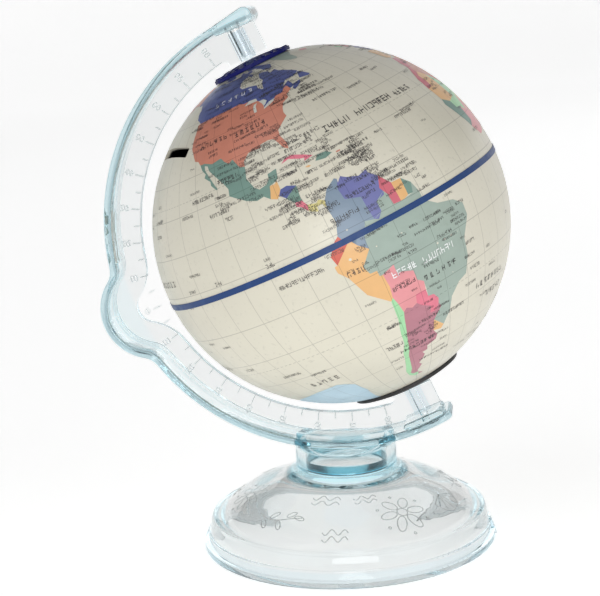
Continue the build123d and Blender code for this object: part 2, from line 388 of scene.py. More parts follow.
@dataclass(frozen=True)
class ClearPlastic:
    """Pale blue clear moulding, deeper in colour where it is thick; lamps shine through it."""

    name: str = "clear_plastic"
    density: float = 26.0
    wave: float = 0.00005
    haze: Spot = (0.01, 0.05)
    base: Colour = (0.90, 0.895, 0.89)
    rim: Colour = (0.66, 0.72, 0.75)
    dome: Colour = (0.80, 0.785, 0.775)
    flange: Colour = (0.845, 0.90, 0.91)
    # Painted shade: the dark colour of the lines along the flange's corners and around the grip bump.
    edge: Colour = (0.36, 0.45, 0.48)
    # Painted shade: the dark colour of the line along the arm's inner edge.
    lip: Colour = (0.42, 0.46, 0.46)
    neck: Colour = (0.62, 0.84, 0.90)
    sleeve: Colour = (0.74, 0.79, 0.82)
    zones: ClearZones = ClearZones()

    def tone(self, n: Nodes) -> Socket:
        """The plastic's colour: plain on the web and dome, bluer on the flange and around the neck, with
        painted shade lines along the flange's corners, around the grip bump and along the arm's inner edge.
        """
        zone = self.zones
        parts = n.add("SeparateXYZ")
        n.link(n.add("TexCoord").outputs["Object"], parts.inputs[0])
        x, y, z = parts.outputs
        east, rise = n.math("SUBTRACT", x, PLACE.centre.x), n.math("SUBTRACT", z, PLACE.centre.z)
        from_globe, from_axis, depth = n.length(east, rise), n.length(x, y), n.math("ABSOLUTE", y)
        lean_across, lean_along = n.times(east, math.cos(PLACE.lean)), n.times(rise, math.sin(PLACE.lean))
        off_axis = n.math("ABSOLUTE", n.math("ADD", lean_across, lean_along))

        def past(distance: Socket, edge: Spot) -> Socket:
            """A mask that rises from 0 to 1 over an edge."""
            return n.between(distance, *edge)

        def short_of(distance: Socket, edge: Spot) -> Socket:
            """A mask that falls from 1 to 0 over an edge."""
            return n.between(distance, *edge, 1.0, 0.0)

        def line(distance: Socket, middle: float, half: float) -> Socket:
            """A narrow band around one distance, as a 0 to 1 mask."""
            return short_of(n.math("ABSOLUTE", n.math("SUBTRACT", distance, middle)), (half * 0.4, half))

        above = past(z, zone.arm_above)
        flange = n.times(past(from_globe, zone.flange_from), above)
        tone = n.blend(short_of(z, zone.dome_below), n.blend(flange, self.base, self.flange), self.dome)
        neck = n.times(short_of(from_axis, zone.neck_width), past(z, zone.neck_from), short_of(z, zone.neck_to))
        rim = n.times(past(from_axis, zone.rim_width), short_of(z, zone.rim_below))
        tone = n.blend(rim, n.blend(neck, tone, self.neck), self.rim)
        sleeve = n.times(short_of(n.length(off_axis, y), zone.sleeve_width), past(from_globe, zone.sleeve_from),
                         short_of(from_globe, zone.sleeve_to))
        tone = n.blend(sleeve, tone, self.sleeve)
        # Painted shade: dark lines along the flange's outer corners and around the grip bump, where real glass
        # edges refract dark surroundings.
        bump_east, bump_rise = zone.bump_middle
        from_bump = n.length(n.math("ADD", east, bump_east), n.math("ADD", rise, bump_rise))
        outside = n.math("GREATER_THAN", from_globe, zone.bump_from)
        shade_around_bump = n.times(line(from_bump, *zone.bump_corner), outside)
        corner = n.math("MAXIMUM", line(from_globe, *zone.corner), shade_around_bump)
        corner = n.times(corner, above, n.between(depth, *zone.corner_width, 0.0, 0.8))
        # Painted shade: a dark line along the arm's inner edge, away from the pivots.
        lip = n.times(line(from_globe, *zone.lip), n.between(off_axis, *zone.lip_from, 0.0, 0.8))
        return n.blend(lip, n.blend(corner, tone, self.edge), self.lip)

    def material(self) -> Material:
        """Build the finish."""
        n = Nodes.fresh(self.name)
        shader = n.principled(Base_Color=self.tone(n), Transmission_Weight=1.0, IOR=1.47,
                              Roughness=n.between(n.noise(160.0, 3.0), 0.35, 0.75, *self.haze),
                              Normal=n.bump(n.noise(75.0, 1.5), self.wave, 0.3))
        through = n.add("BsdfTransparent")
        through.inputs["Color"].default_value = (0.95, 0.975, 0.98, 1.0)
        mixer = n.add("MixShader")
        n.link(n.add("LightPath").outputs["Is Shadow Ray"], mixer.inputs[0])
        n.link(shader.outputs[0], mixer.inputs[1])
        n.link(through.outputs[0], mixer.inputs[2])
        tint = n.add("VolumeAbsorption")
        tint.inputs["Color"].default_value = (0.30, 0.66, 0.74, 1.0)
        tint.inputs["Density"].default_value = self.density
        out = n.add("OutputMaterial")
        n.link(mixer.outputs[0], out.inputs["Surface"])
        n.link(tint.outputs[0], out.inputs["Volume"])
        return n.material


@dataclass(frozen=True)
class MouldedPlastic:
    """An opaque moulding with fine grain and slight scuffs."""

    name: str
    colour: Colour
    roughness: float = 0.35
    grain: float = 0.00003
    shine: float = 0.5

    def material(self) -> Material:
        """Build the finish."""
        n = Nodes.fresh(self.name)
        base = linear(*self.colour)
        worn = n.between(n.noise(210.0, 5.0), 0.52, 0.80, 0.0, 0.35)
        tone = n.blend(worn, base, tuple(min(c * 1.5 + 0.012, 1) for c in base))
        gloss = n.between(n.noise(320.0, 3.0), 0.25, 0.8, self.roughness - 0.08, self.roughness + 0.12)
        return n.finish(n.principled(Base_Color=tone, Roughness=gloss, Specular_IOR_Level=self.shine,
                                     Normal=n.bump(n.noise(1500.0, 2.0), self.grain, 0.5)))


# ---------------------------------------------------------------- mesh help
def placed(name: str, data: bpy.types.ID) -> Object:
    """Put a mesh, curve, lamp or camera into the scene at the origin."""
    obj = bpy.data.objects.new(name, data)
    bpy.context.scene.collection.objects.link(obj)
    return obj


def stored(bm: Shape, name: str = "part") -> Mesh:
    """Store a bmesh as a mesh, and free it."""
    mesh = bpy.data.meshes.new(name)
    bm.to_mesh(mesh)
    bm.free()
    return mesh


def opened(mesh: Mesh) -> Shape:
    """Open a mesh as a bmesh, and remove the mesh."""
    bm = bmesh.new()
    bm.from_mesh(mesh)
    bpy.data.meshes.remove(mesh)
    return bm


def join_into(target: Shape, part: Shape, matrix: Matrix) -> None:
    """Copy a bmesh into another at a place, and free it."""
    mesh = stored(part)
    mesh.transform(matrix)
    target.from_mesh(mesh)
    bpy.data.meshes.remove(mesh)


def solid_of(curve: bpy.types.Curve) -> Shape:
    """Turn a text or a curve into a bmesh, and remove the curve."""
    holder = placed("curve", curve)
    bpy.context.view_layer.update()
    bm = opened(bpy.data.meshes.new_from_object(holder))
    bpy.data.objects.remove(holder)
    bpy.data.curves.remove(curve)
    return bm


def numerals(words: str, height: float, depth: float) -> Shape:
    """Raised numerals lying flat at the origin, centred.

    Args:
        words: the numerals.
        height: their height in metres.
        depth: how far they stand up.

    Returns:
        A bmesh in the XY plane.
    """
    curve = bpy.data.curves.new("numerals", "FONT")
    curve.body, curve.size, curve.extrude = words, height * 1.4, depth / 2
    curve.align_x, curve.align_y = "CENTER", "CENTER"
    curve.resolution_u = 3
    return solid_of(curve)


def lathe(outline: Sequence[Spot], closed: bool, steps: int = 96, merge: float = 1e-6) -> Shape:
    """Turn an outline once around the vertical axis.

    Args:
        outline: its corners, each a radius and a height.
        closed: whether the last corner joins the first.
        steps: the number of flats around.
        merge: corners nearer than this become one.

    Returns:
        The turned shape.
    """
    bm = bmesh.new()
    corners = [bm.verts.new((r, 0, z)) for r, z in outline]
    ends = corners[1:] + corners[:1] if closed else corners[1:]
    edges = [bm.edges.new(pair) for pair in zip(corners, ends)]
    bmesh.ops.spin(bm, geom=corners + edges, cent=(0, 0, 0), axis=(0, 0, 1), angle=TURN, steps=steps,
                   use_merge=True)
    bmesh.ops.remove_doubles(bm, verts=bm.verts[:], dist=merge)
    bmesh.ops.recalc_face_normals(bm, faces=bm.faces[:])
    return bm


def piece_from(bm: Shape, name: str, material: Material, body: str,
               smooth: bool = False) -> Object:
    """Turn a bmesh into a finished piece that rides on a body.

    Args:
        bm: the piece's mesh, already in place; it is freed.
        name: the piece's name.
        material: its finish.
        body: the body it rides on.
        smooth: whether its faces are shaded smooth.

    Returns:
        The new object.
    """
    for face in bm.faces:
        face.smooth = smooth
    obj = placed(name, stored(bm, name))
    obj.data.materials.append(material)
    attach(obj, body)
    LOG.info("%s: %d faces on %s", name, len(obj.data.polygons), body)
    return obj


# ---------------------------------------------------------------- the map
# Each country or island: its name, then its outline as longitudes and latitudes in degrees.
ATLAS: dict[Ink, str] = {
    Ink.INDIGO: """
    canada -141 60 -141 69.6 -136 69 -128 70 -120 69.5 -115 68 -108 68 -102 67.8 -96 68.3 -94 71.5 -91 69.5
    -88 68.5 -85 69.5 -82 69.5 -81.5 67.5 -86 66.3 -87 64.8 -93 62.5 -94.7 60 -94.5 58.8 -92.5 57 -88 56.5
    -82.3 55.2 -82 53 -80 51.3 -79 51.5 -78.8 54.5 -77 56.5 -78.5 58.8 -77.5 62.5 -73.5 62.3 -70 61 -69.5 59
    -65 60.3 -64 58 -61.5 56.5 -58 54 -56 52 -60 50.2 -66 50.2 -70 47.2 -65 49.2 -64.5 46.3 -60 46.9
    -61.2 45.3 -65.5 43.5 -66.2 44.5 -64.8 45.6 -67 45 -67.8 47 -70 46.5 -71.5 45 -75 45 -76.5 44.2 -79 43.3
    -79 42.9 -82.8 41.9 -82.4 43 -83 45.6 -84.5 46.5 -88 48.2 -92 48.3 -95.2 49.2 -123 49 -124.5 50
    -127.5 51.2 -130.3 54.8 -130 56 -135 59.5 -137.5 58.9
    baffin -80 73.5 -72 71.5 -67 69 -62 66.8 -64.5 63.3 -68 62.5 -72 64 -73 66 -78 69.8 -85 70 -89 72.5
    victoria -117 73 -108 73 -105 71 -102 69.5 -108 68.7 -116 69 -118 71
    ellesmere -90 77 -80 76.3 -75 78.5 -65 81.5 -62 82.5 -75 83 -88 82 -92 80
    banks -125 74 -120 74 -118 72 -123 71.2
    southampton -87 65.5 -85 66 -81 64 -84 62.5
    newfoundland -59.3 47.7 -57 51.5 -55.5 51 -53 47.5 -54 46.8
    honduras -89.3 14.5 -88.2 15.8 -86 16 -83.2 15 -86 13.8 -87.5 13""",
    Ink.SALMON: """
    alaska -141 60 -141 69.6 -150 70.5 -157 71.2 -163 69.3 -166.5 68.3 -162 66.5 -168 65.6 -161 64.3 -165 61
    -162 59 -158 58.5 -164 54.7 -158 56.5 -152.5 59 -151.5 61 -148 60 -144 60
    united_states -124.7 48.4 -123 49 -95.2 49.2 -92 48.3 -88 48.2 -84.5 46.5 -83 45.6 -82.5 42 -79 42.7
    -79 43.3 -76.5 44.2 -75 45 -71.5 45 -70 46.5 -69 47.4 -67.8 47 -67 44.8 -70.5 43.2 -70.6 41.8 -74 40.6
    -75.5 38.5 -76 37 -75.6 35.3 -78 33.9 -81 32 -81.3 30 -80 27 -80.4 25.2 -81.8 26 -82.8 28 -84 30 -86 30.4
    -89.5 30.2 -89.3 29.2 -91.5 29.4 -94.5 29.5 -97.2 27.5 -97.2 26 -99.2 26.5 -101.5 29.8 -103.2 29 -104.8 30
    -106.5 31.8 -111 31.3 -114.8 32.5 -117.1 32.5 -118.5 34 -120.6 34.6 -122.4 37.5 -124 39.5 -124.3 42
    -124 46.3
    puerto_rico -67.2 18.4 -65.7 18.4 -65.9 18 -67.2 18
    algeria -2.2 35.1 3 36.9 8.4 36.9 7.5 33.5 9.5 30 10 24.5 4.2 19.2 -4.8 25 -8.7 27.3 -8.7 28.7 -1.2 32
    sudan 25 22 37 22 38.5 18 36.5 14.3 34 9.5 28 9.4 24 8.7 22 11 22 16 24 19.5 25 20
    kenya 30.8 3.5 36 4.5 41 4 41.5 -1.6 39.2 -4.7 40.4 -10.5 34.5 -11.5 29.5 -6 29.5 -1
    balkans 13.5 46.5 22 48 29.5 45.3 28 42 26 40.8 23 40 24 37.8 22.5 36.5 19.5 40.5
    iran 44.5 39.5 48.5 38.4 54 37.3 61 36.5 61 31 61.6 25.2 57 27 51.5 27.8 48 30 45.5 36 44.5 37.2
    mongolia 88 49.3 98 50.5 116 49.8 120 46.5 111 43.5 105 41.8 97 42.6 91 45.5
    australia 113.8 -22.5 114 -26.5 115.7 -31.8 115 -34.3 118 -35 123.5 -33.9 126 -32.3 131 -31.5 135.8 -34.9
    137.8 -33 138 -35.5 140.5 -38 144.5 -38.3 146.3 -39 150 -37.3 153.3 -30 153.2 -25.5 149 -20.5 145.8 -17
    145.3 -14.9 142.5 -10.8 141.5 -13.5 140.8 -17.5 137 -15.8 136.8 -12.2 132.5 -11.3 129.5 -14.9 126.5 -14
    122.3 -18 119 -20
    tasmania 144.7 -40.8 148.3 -40.9 147.5 -43.5 146 -43.5""",
    Ink.TEAL: """
    mexico -117.1 32.5 -114.8 32.5 -111 31.3 -106.5 31.8 -104.8 30 -103.2 29 -101.5 29.8 -99.2 26.5 -97.2 26
    -97.8 22.5 -96 19.2 -94.5 18.2 -91.8 18.6 -90.5 19.8 -90.3 21.1 -87 21.5 -87.6 19 -88.3 18.4 -91 17.8
    -91.5 16.2 -92.2 14.6 -94 16 -96.5 15.7 -99.8 16.8 -102 18 -105.5 20 -105.3 22 -107 24.2 -109.3 26.5
    -112.5 29.5 -113.2 31.2 -114.7 31.7 -114.5 30.2 -112.5 27.5 -111 25.3 -109.5 23.2 -110.2 23.2 -112.2 25
    -112.3 26.2 -115 28 -114.3 29 -116 30.5
    nicaragua -87.6 12.9 -86 13.8 -83.2 15 -83.6 11 -85.7 11.1
    hispaniola -74.4 18.5 -73 19.9 -70 19.7 -68.4 18.6 -71 18 -72.5 18.2
    cayenne -54 5.8 -54.3 2.3 -52.6 2.2 -51.6 4.2
    senegal -16.4 16.5 -12 14.8 -11.4 12.4 -8 12.2 -8.3 8 -11.4 6.9 -13.2 9 -15 11 -17.4 14.7
    cameroon 8.5 4.7 10 7 14.5 12.5 15 7.5 22 11 27 5 18.5 3.5 9.8 2.3
    indus 61 36.5 67.5 37.3 75 37 74 34 75 32 70.5 28 68 24 61.6 25.2 61 31
    new_guinea 131 -0.8 137.8 -1.5 147 -6 150.5 -10.6 146 -8.8 142.5 -9.2 138 -8.2 137.8 -5.2 133 -4""",
    Ink.SAGE: """
    greenland -73 78 -68 80 -60 82 -45 82.5 -30 83.3 -20 81.5 -19 77 -22 73 -24 70.5 -32 68 -38 65.7 -42 60.5
    -44 60 -48 61 -52 65 -54 69 -55 71 -58 75 -66 76
    brazil -51.6 4.2 -52.6 2.2 -55.9 1.9 -59.7 2 -60 4.3 -60.7 5.2 -64 4 -64 2 -66.9 1.2 -69.8 1.7 -70 -0.5
    -69.9 -4.2 -73.8 -7.3 -72.8 -9.4 -70.6 -9.5 -70.5 -11 -69.5 -11 -65.3 -10 -65.3 -12 -60.2 -13.6 -60 -16.3
    -58 -17.5 -57.8 -19.8 -58 -22 -55.8 -22.3 -54.3 -24.1 -54.6 -25.6 -53.7 -27 -57.6 -30.2 -53.4 -33.7
    -50 -30 -48.6 -26 -44.7 -23 -41 -22 -39 -17.5 -39 -13 -35 -8.5 -35.2 -5.5 -38.5 -3.7 -44.3 -2.6 -48.5 -0.5
    -50 0.5 -50.5 1.8
    indochina 92.5 22 97 28 98 24.5 101.5 21.3 105.5 23 108 21.5 106.5 18 109.3 13 106.7 10.3 104.8 8.8
    102.5 12 100.5 13.4 99.3 10 103.5 4 104 1.4 101 3 98.3 8 98.5 13 97.5 16.5 94.3 16 94 19""",
    Ink.MAUVE: """
    argentina -66.5 -22 -64.5 -22.8 -62.6 -22.2 -61 -23.6 -57.7 -25.2 -58.6 -27.3 -56 -27.4 -54.6 -25.6
    -53.7 -27 -57.6 -30.2 -58.4 -34 -56.8 -36.3 -57.6 -38.1 -62.2 -39 -62.3 -40.8 -65 -41 -63.8 -42.5
    -65.3 -44.5 -67.5 -46.2 -65.8 -47.8 -69 -51 -68.4 -52.4 -72 -52 -73.3 -50.5 -72 -47.5 -71.8 -44 -71.5 -39
    -70.3 -36 -70 -33 -69 -28 -68.3 -24.5 -67.8 -22.8
    fuego -68.6 -52.7 -65.2 -54.7 -68.6 -54.9
    chad 15.5 23 24 19.5 22 16 22 11 15 7.5 14.5 12.5 13.5 13.8 15.5 17
    cape 16.5 -28.6 20 -28.4 20 -24.8 25.5 -25.6 29.4 -22.2 31.3 -22.4 32.8 -26.8 30.5 -31 26 -34 20 -34.8
    18 -33.5
    scandinavia 5 59 5 62 14 67.5 20 70 28 71 29 69.5 24 66 21.5 65.5 17.2 61 18.5 59.8 15.5 56.2 12.8 55.5
    11 59
    india 68 24 70.5 28 75 32 74 34 78.5 34.5 79 31 88 27.5 92 27 97 28 92.5 22 89 22 86.5 20.2 80.3 15 80 12
    77.6 8.1 74.8 13 72.7 20 70.5 20.8""",
    Ink.ROSE: """
    costa_rica -85.7 11.1 -83.6 10.9 -82.6 9.5 -83 8.3 -84.5 9.6 -85.8 10
    cuba -84.9 21.9 -83 23 -80.5 23.1 -77 21.7 -74.2 20.3 -77.6 19.9 -77.1 20.7 -78.5 21 -82 22.4
    paraguay -62.6 -22.2 -62 -19.8 -58.2 -19.8 -58 -22 -55.8 -22.3 -54.3 -24.1 -54.6 -25.6 -56 -27.4
    -58.6 -27.3 -57.7 -25.2 -61 -23.6
    britain -5.5 50 1.4 51.2 0.3 53 -2 55.8 -2 57.5 -5 58.6 -5 54.8 -3 53.5 -5 52
    iraq 36 36 44.5 37.2 45.5 36 48 30 46.5 29 39 32 35 29.3 35.8 34
    korea 124.5 40 130.5 42.3 127.5 39.5 129.4 37 129 35.2 126.3 34.5 126.8 37.5
    philippines 120.5 18.4 122.2 18.4 121.8 14 126 8 125.3 6 122 7 120 14""",
    Ink.PINK: """
    bolivia -69.5 -11 -65.3 -10 -65.3 -12 -60.2 -13.6 -60 -16.3 -58 -17.5 -58.2 -19.8 -62 -19.8 -62.6 -22.2
    -64.5 -22.8 -66.5 -22 -67.8 -22.8 -68.6 -19.8 -69.5 -17.5 -69 -14.5
    gold_coast -11.4 6.9 -8.3 8 -8 12.2 -5 10.5 0 15 2.5 12 2.7 6.4 -2 4.8 -7.5 4.4
    ethiopia 36.5 14.3 38.5 18 43 11.5 48 8 42 4 36 4.5 34 9.5
    namibia 11.8 -17.3 14 -17.4 25.3 -17.8 29.4 -22.2 25.5 -25.6 20 -24.8 20 -28.4 16.5 -28.6 14.5 -23
    iceland -24 65.5 -22 66.4 -16 66.5 -13.7 65 -18.5 63.4 -22.5 64
    russia 28 60.5 31 62.8 30 69.5 41 66.5 44 68.5 60 69.5 68 68.5 73 71 81 73.5 104 77.5 113 74 130 71.5
    140 72.8 160 70 178 69.5 180 68.5 180 65.5 178 64.5 170 60 163 58 162.5 56 156.8 51.2 155.5 57 163 61.5
    155 59.3 142 59 135.5 54.6 140.5 52.5 138 47 131 42.8 131 45 134.5 48.3 127 50 120 53.3 116 49.8 98 50.5
    88 49.3 80 51 71 54.2 61 54 61 51 50 51 47 48 48.5 45.5 47.5 42 40 43.6 37.5 45 38 47 40 49.5 32 52.5
    28 56 27.5 59.5""",
    Ink.SAND: """
    guatemala -92.2 14.6 -91.5 16.2 -91 17.8 -89.2 17.8 -88.3 18.4 -88.2 16 -89.3 14.5 -90.1 13.8
    jamaica -78.3 18.3 -77 18.4 -76.3 18 -77.2 17.8
    suriname -57.3 5.9 -57.2 1.9 -55.9 1.9 -54.3 2.3 -54 5.8
    peru -81.3 -4.5 -80.3 -4.4 -78 -3 -75.3 -0.1 -72.5 -2.4 -69.9 -4.2 -73.8 -7.3 -72.8 -9.4 -70.6 -9.5
    -70.5 -11 -69.5 -11 -69 -14.5 -69.5 -17.5 -70.4 -18.3 -76.3 -13.8 -79 -8.2 -81.2 -6
    uruguay -57.6 -30.2 -53.4 -33.7 -54.9 -34.9 -58.4 -34
    mauritania -17 20.8 -13 21.3 -12 23.4 -12 25.9 -8.7 27.3 -4.8 25 -5.5 15.5 -12 14.8 -16.4 16.5
    egypt 25 31.6 34.2 31.3 32.5 29.8 35.5 24 37 22 25 22
    angola 12.5 -6 17 -8 22 -11 24 -11 23.5 -17.5 14 -17.4 11.8 -17.3 13.6 -12
    iberia -9 43.3 -1.8 43.4 3.2 42.3 0 39.5 -0.5 38.3 -2 36.7 -5.5 36 -9 37 -9.5 39
    turkey 26 40.8 35 42 41.5 41.5 44.5 39.5 44.5 37.2 36 36 31 36.5 27.5 37
    steppe 47 48 50 51 61 51 61 54 71 54.2 80 51 87.3 49.1 80 42.3 74 40 67.5 37.3 61 36.5 54 37.3 53.5 41
    51 44.5
    ceylon 80 9.7 81.8 7.5 80.5 6
    sumatra 95.3 5.6 98.7 3.8 104 -1.5 106 -5.8 104.3 -5.8 100.5 -1
    java 105.3 -6.5 111 -6.5 114.4 -7.8 114 -8.6 108 -7.8
    borneo 109.5 2 113 3.1 117 7 119 5.2 117.8 1 116 -4 110.2 -2.8 109 0.4
    celebes 119.5 -5.4 120.5 -2.8 124.8 1.5 120.2 0.9 119 -3""",
    Ink.MINT: """
    chile -70.4 -18.3 -69.5 -17.5 -68.6 -19.8 -67.8 -22.8 -68.3 -24.5 -69 -28 -70 -33 -70.3 -36 -71.5 -39
    -71.8 -44 -72 -47.5 -73.3 -50.5 -72 -52 -68.4 -52.4 -68.6 -54.8 -71 -54.8 -74.5 -52 -75.5 -48 -74.5 -44
    -73.7 -40 -73.4 -37 -71.6 -33 -71.5 -29 -70.5 -24
    mali -12 14.8 -5.5 15.5 -4.8 25 4.2 19.2 3.5 15.5 0 15 -5 10.5 -8 12.2 -11.4 12.4
    tunisia 7.5 33.5 8.4 36.9 11 37 10.2 34.3 11.5 33.1 9.5 30
    somalia 43 11.5 51.2 11.9 48 5 42.5 -0.5 41.5 -1.6 41 4 48 8
    zambezi 22 -13 24 -11 29.5 -13 33 -9.5 40.4 -10.5 40.6 -15.5 35 -20 35.5 -24 32.8 -26.5 31.3 -22.4
    25.3 -17.8 22 -17.6
    madagascar 44 -16.2 49.3 -12 50.4 -16 47.2 -25 45 -25.5 43.3 -22
    ireland -10 52 -6.2 52.3 -6 54.5 -8 55.2 -10 54
    italy 7.5 43.8 6 46.2 8 47.6 13.5 46.5 12.5 44 18.4 40 16 38 15.5 40 11 42.4
    ukraine 24 51 23.5 54 21 57 27.5 59.5 28 56 32 52.5 40 49.5 38 47 34 46 30.5 46 22 48 22.5 49
    north_island 172.7 -34.5 175.5 -36.8 178.5 -37.7 175.3 -41.6 173.8 -39.3 174.8 -37
    south_island 172.7 -40.6 174.2 -41.7 171 -44.5 168.5 -46.6 166.5 -45.9 170.5 -43""",
    Ink.SLATE: """
    colombia -77.4 8.7 -75.5 10.7 -72 12.3 -71.3 11.9 -72.5 9.5 -72 7.2 -67.5 6.2 -67.2 2.5 -66.9 1.2
    -69.8 1.7 -70 -0.5 -69.9 -4.2 -72.5 -2.4 -75.3 -0.1 -77.5 0.4 -78.8 1.4 -77.3 4 -77.9 7.2""",
    Ink.VIOLET: """
    venezuela -71.3 11.9 -72.5 9.5 -72 7.2 -67.5 6.2 -67.2 2.5 -66.9 1.2 -65.5 0.8 -64 2 -64 4 -61 4.5
    -60.7 5.2 -61.3 6 -59.8 8.3 -62 9.8 -62 10.7 -65 10.1 -68.5 11.2 -70 12.1 -71.5 10.9
    libya 9.5 30 11.5 33.1 15.3 32.3 20 30.8 20 32.8 25 31.6 25 20 24 19.5 15.5 23 12 23.5 10 24.5
    congo 12.5 -6 16.5 -3 18.5 3.5 27 5 30.8 3.5 29.5 -1 29.5 -6 28.5 -8.5 29.5 -13 24 -11 22 -11 17 -8
    france -4.8 48.4 -1.5 48.6 2.5 51 8 49 6 46.2 7.5 43.8 3.2 42.5 -1.8 43.4 -1.2 46""",
    Ink.BRICK: """
    ecuador -80 0.8 -78.8 1.4 -77.5 0.4 -75.3 -0.1 -78 -3 -80.3 -4.4 -81 -2.2""",
    Ink.ICE: """
    antarctica -180 -78 -165 -78 -150 -77 -130 -74 -110 -74.5 -100 -72.5 -85 -73 -75 -72 -68 -68 -62 -64.5
    -57 -63.3 -60 -66 -62 -70 -62 -75 -50 -78 -35 -78 -20 -73 -5 -70.5 15 -70 35 -69 55 -66.5 75 -69.5
    95 -66.5 115 -66.8 135 -66.3 150 -68.5 165 -71 163 -77 180 -78 180 -84 -180 -84
    southern_ice -180 -52 -160 -48 -139 -41.4 -119 -38.9 -107 -38.1 -103.8 -39.2 -100.3 -41.4 -99.3 -48
    -103 -56 -110 -66 -140 -74 -180 -76""",
    Ink.CRIMSON: """
    guyana -59.8 8.3 -61.3 6 -60.7 5.2 -60 4.3 -59.7 2 -57.2 1.9 -57.3 5.9
    morocco -17 20.8 -16 25 -13 27.8 -9.7 30 -9.5 32.5 -6 35.8 -2.2 35.1 -1.2 32 -8.7 28.7 -8.7 27.3 -12 25.9
    -12 23.4 -13 21.3
    japan 130 31.5 130 33.8 132.5 35.4 136.8 37.2 140 41.2 141.8 39.5 140.8 36 138 34.7 135.5 33.6
    hokkaido 140 41.5 141.8 45.4 145.3 43.3 143 42""",
    Ink.STRAW: """
    panama -82.6 9.5 -80 9 -79 9.5 -77.4 8.7 -77.9 7.4 -78.5 8.4 -80.3 8.3 -80.4 7.3 -83 8.2
    nigeria 2.7 6.4 2.5 12 0 15 3.5 15.5 4.2 19.2 12 23.5 15.5 23 15.5 17 13.5 13.8 10 7 8.5 4.7 5 5.8
    gabon 9.8 2.3 13 2.2 18.5 3.5 16.5 -3 12.2 -5.8 8.9 -1
    middle_europe 2.5 51 4 52 7 53.5 9.5 54.8 14 54 19 54.4 23.5 54 24 51 22.5 49 17 48.8 13 47.5 8 47.6 8 49
    finland 21.5 61 25 60.2 28 60.8 31 62.8 29 69.5 24 66 25.3 65 21.3 63
    arabia 35 29.3 39 32 46.5 29 50 26.7 51.5 24.5 56 24.3 59.8 22.5 55 17.5 52 16.5 45 12.8 42.8 16.5 39 21.3
    china 75 37 74 40 80 42.3 87.3 49.1 91 45.5 97 42.6 105 41.8 111 43.5 120 46.5 116 49.8 120 53.3 127 50
    134.5 48.3 131 45 131 42.8 124.5 40 121.5 40.8 118 39.2 122.3 37 119.3 35 122 30.8 119.5 25.5 113.5 22.2
    108 21.5 105.5 23 101.5 21.3 98 24.5 97 28 88 27.5 79 31 78.5 34.5""",
    Ink.WATER: """
    lake_superior -92 46.8 -89 48.4 -85 48 -84.7 46.6 -88 46.8
    lake_michigan -87.8 42 -86.5 42 -86.3 44.5 -85.2 45.8 -87 45.5 -87.9 44
    lake_huron -84.3 46 -83.3 45 -82.4 43.2 -81.6 43.4 -80.2 44.8 -81.5 46
    lakes_east -83.2 41.7 -79.2 42.6 -76.4 43.6 -76.6 44.1 -79.6 43.8 -82.6 42.4
    caspian 47 44.5 51 46.8 53 45 51 43 53.5 40 53.8 37 49.5 37.6 49.8 40.4
    lake_victoria 31.8 -2.4 33.2 -2.2 34 0 32 0.2""",
}


@dataclass
class WorldMap:
    """The printed countries, laid just above the shells' skin."""

    lift: float = 0.05 * MM
    step: float = 3.0
    border: float = 0.24

    def patch(self, outline: Sequence[Spot], level: int) -> Shape:
        """One country as a curved sheet.

        Args:
            outline: its corners in longitude and latitude.
            level: 0 for land, 1 for a lake printed over it.

        Returns:
            A bmesh with the ink on material 0 and its border line on material 1.
        """
        bm = bmesh.new()
        face = bm.faces.new([bm.verts.new((lon, lat, 0)) for lon, lat in outline])
        face.normal_update()
        if face.normal.z < 0:
            face.normal_flip()
        if level == 0:
            rim = bmesh.ops.inset_region(bm, faces=[face], thickness=self.border, use_even_offset=True)
            for ring in rim["faces"]:
                ring.material_index = 1
        bmesh.ops.triangulate(bm, faces=bm.faces[:])
        for axis in (0, 1):
            normal = Vector((1, 0, 0)) if axis == 0 else Vector((0, 1, 0))
            low, *_, high = sorted(v.co[axis] for v in bm.verts)
            cut = math.floor(low / self.step) * self.step + self.step
            while cut < high:
                bmesh.ops.bisect_plane(bm, geom=bm.verts[:] + bm.edges[:] + bm.faces[:], dist=1e-5,
                                       plane_co=normal * cut, plane_no=normal)
                cut += self.step
        lift = self.lift * (1 + level)
        for vert in bm.verts:
            vert.co = PLACE.spot(*PLACE.formed(vert.co.x, vert.co.y), lift)
        return bm

    def build(self) -> None:
        """Make one piece for each ink, with all its countries printed in it."""
        border = MouldedPlastic("print_border", (92, 88, 92), 0.45).material()
        for ink, text in ATLAS.items():
            sheet = bmesh.new()
            for country in re.split("[a-z_]+", text)[1:]:
                numbers = [float(word) for word in country.split()]
                outline = list(zip(numbers[0::2], numbers[1::2]))
                join_into(sheet, self.patch(outline, int(ink is Ink.WATER)), Matrix())
            name, finish = "map_" + ink.name.lower(), MapPrint(ink).material()
            piece_from(sheet, name, finish, "globe", True).data.materials.append(border)


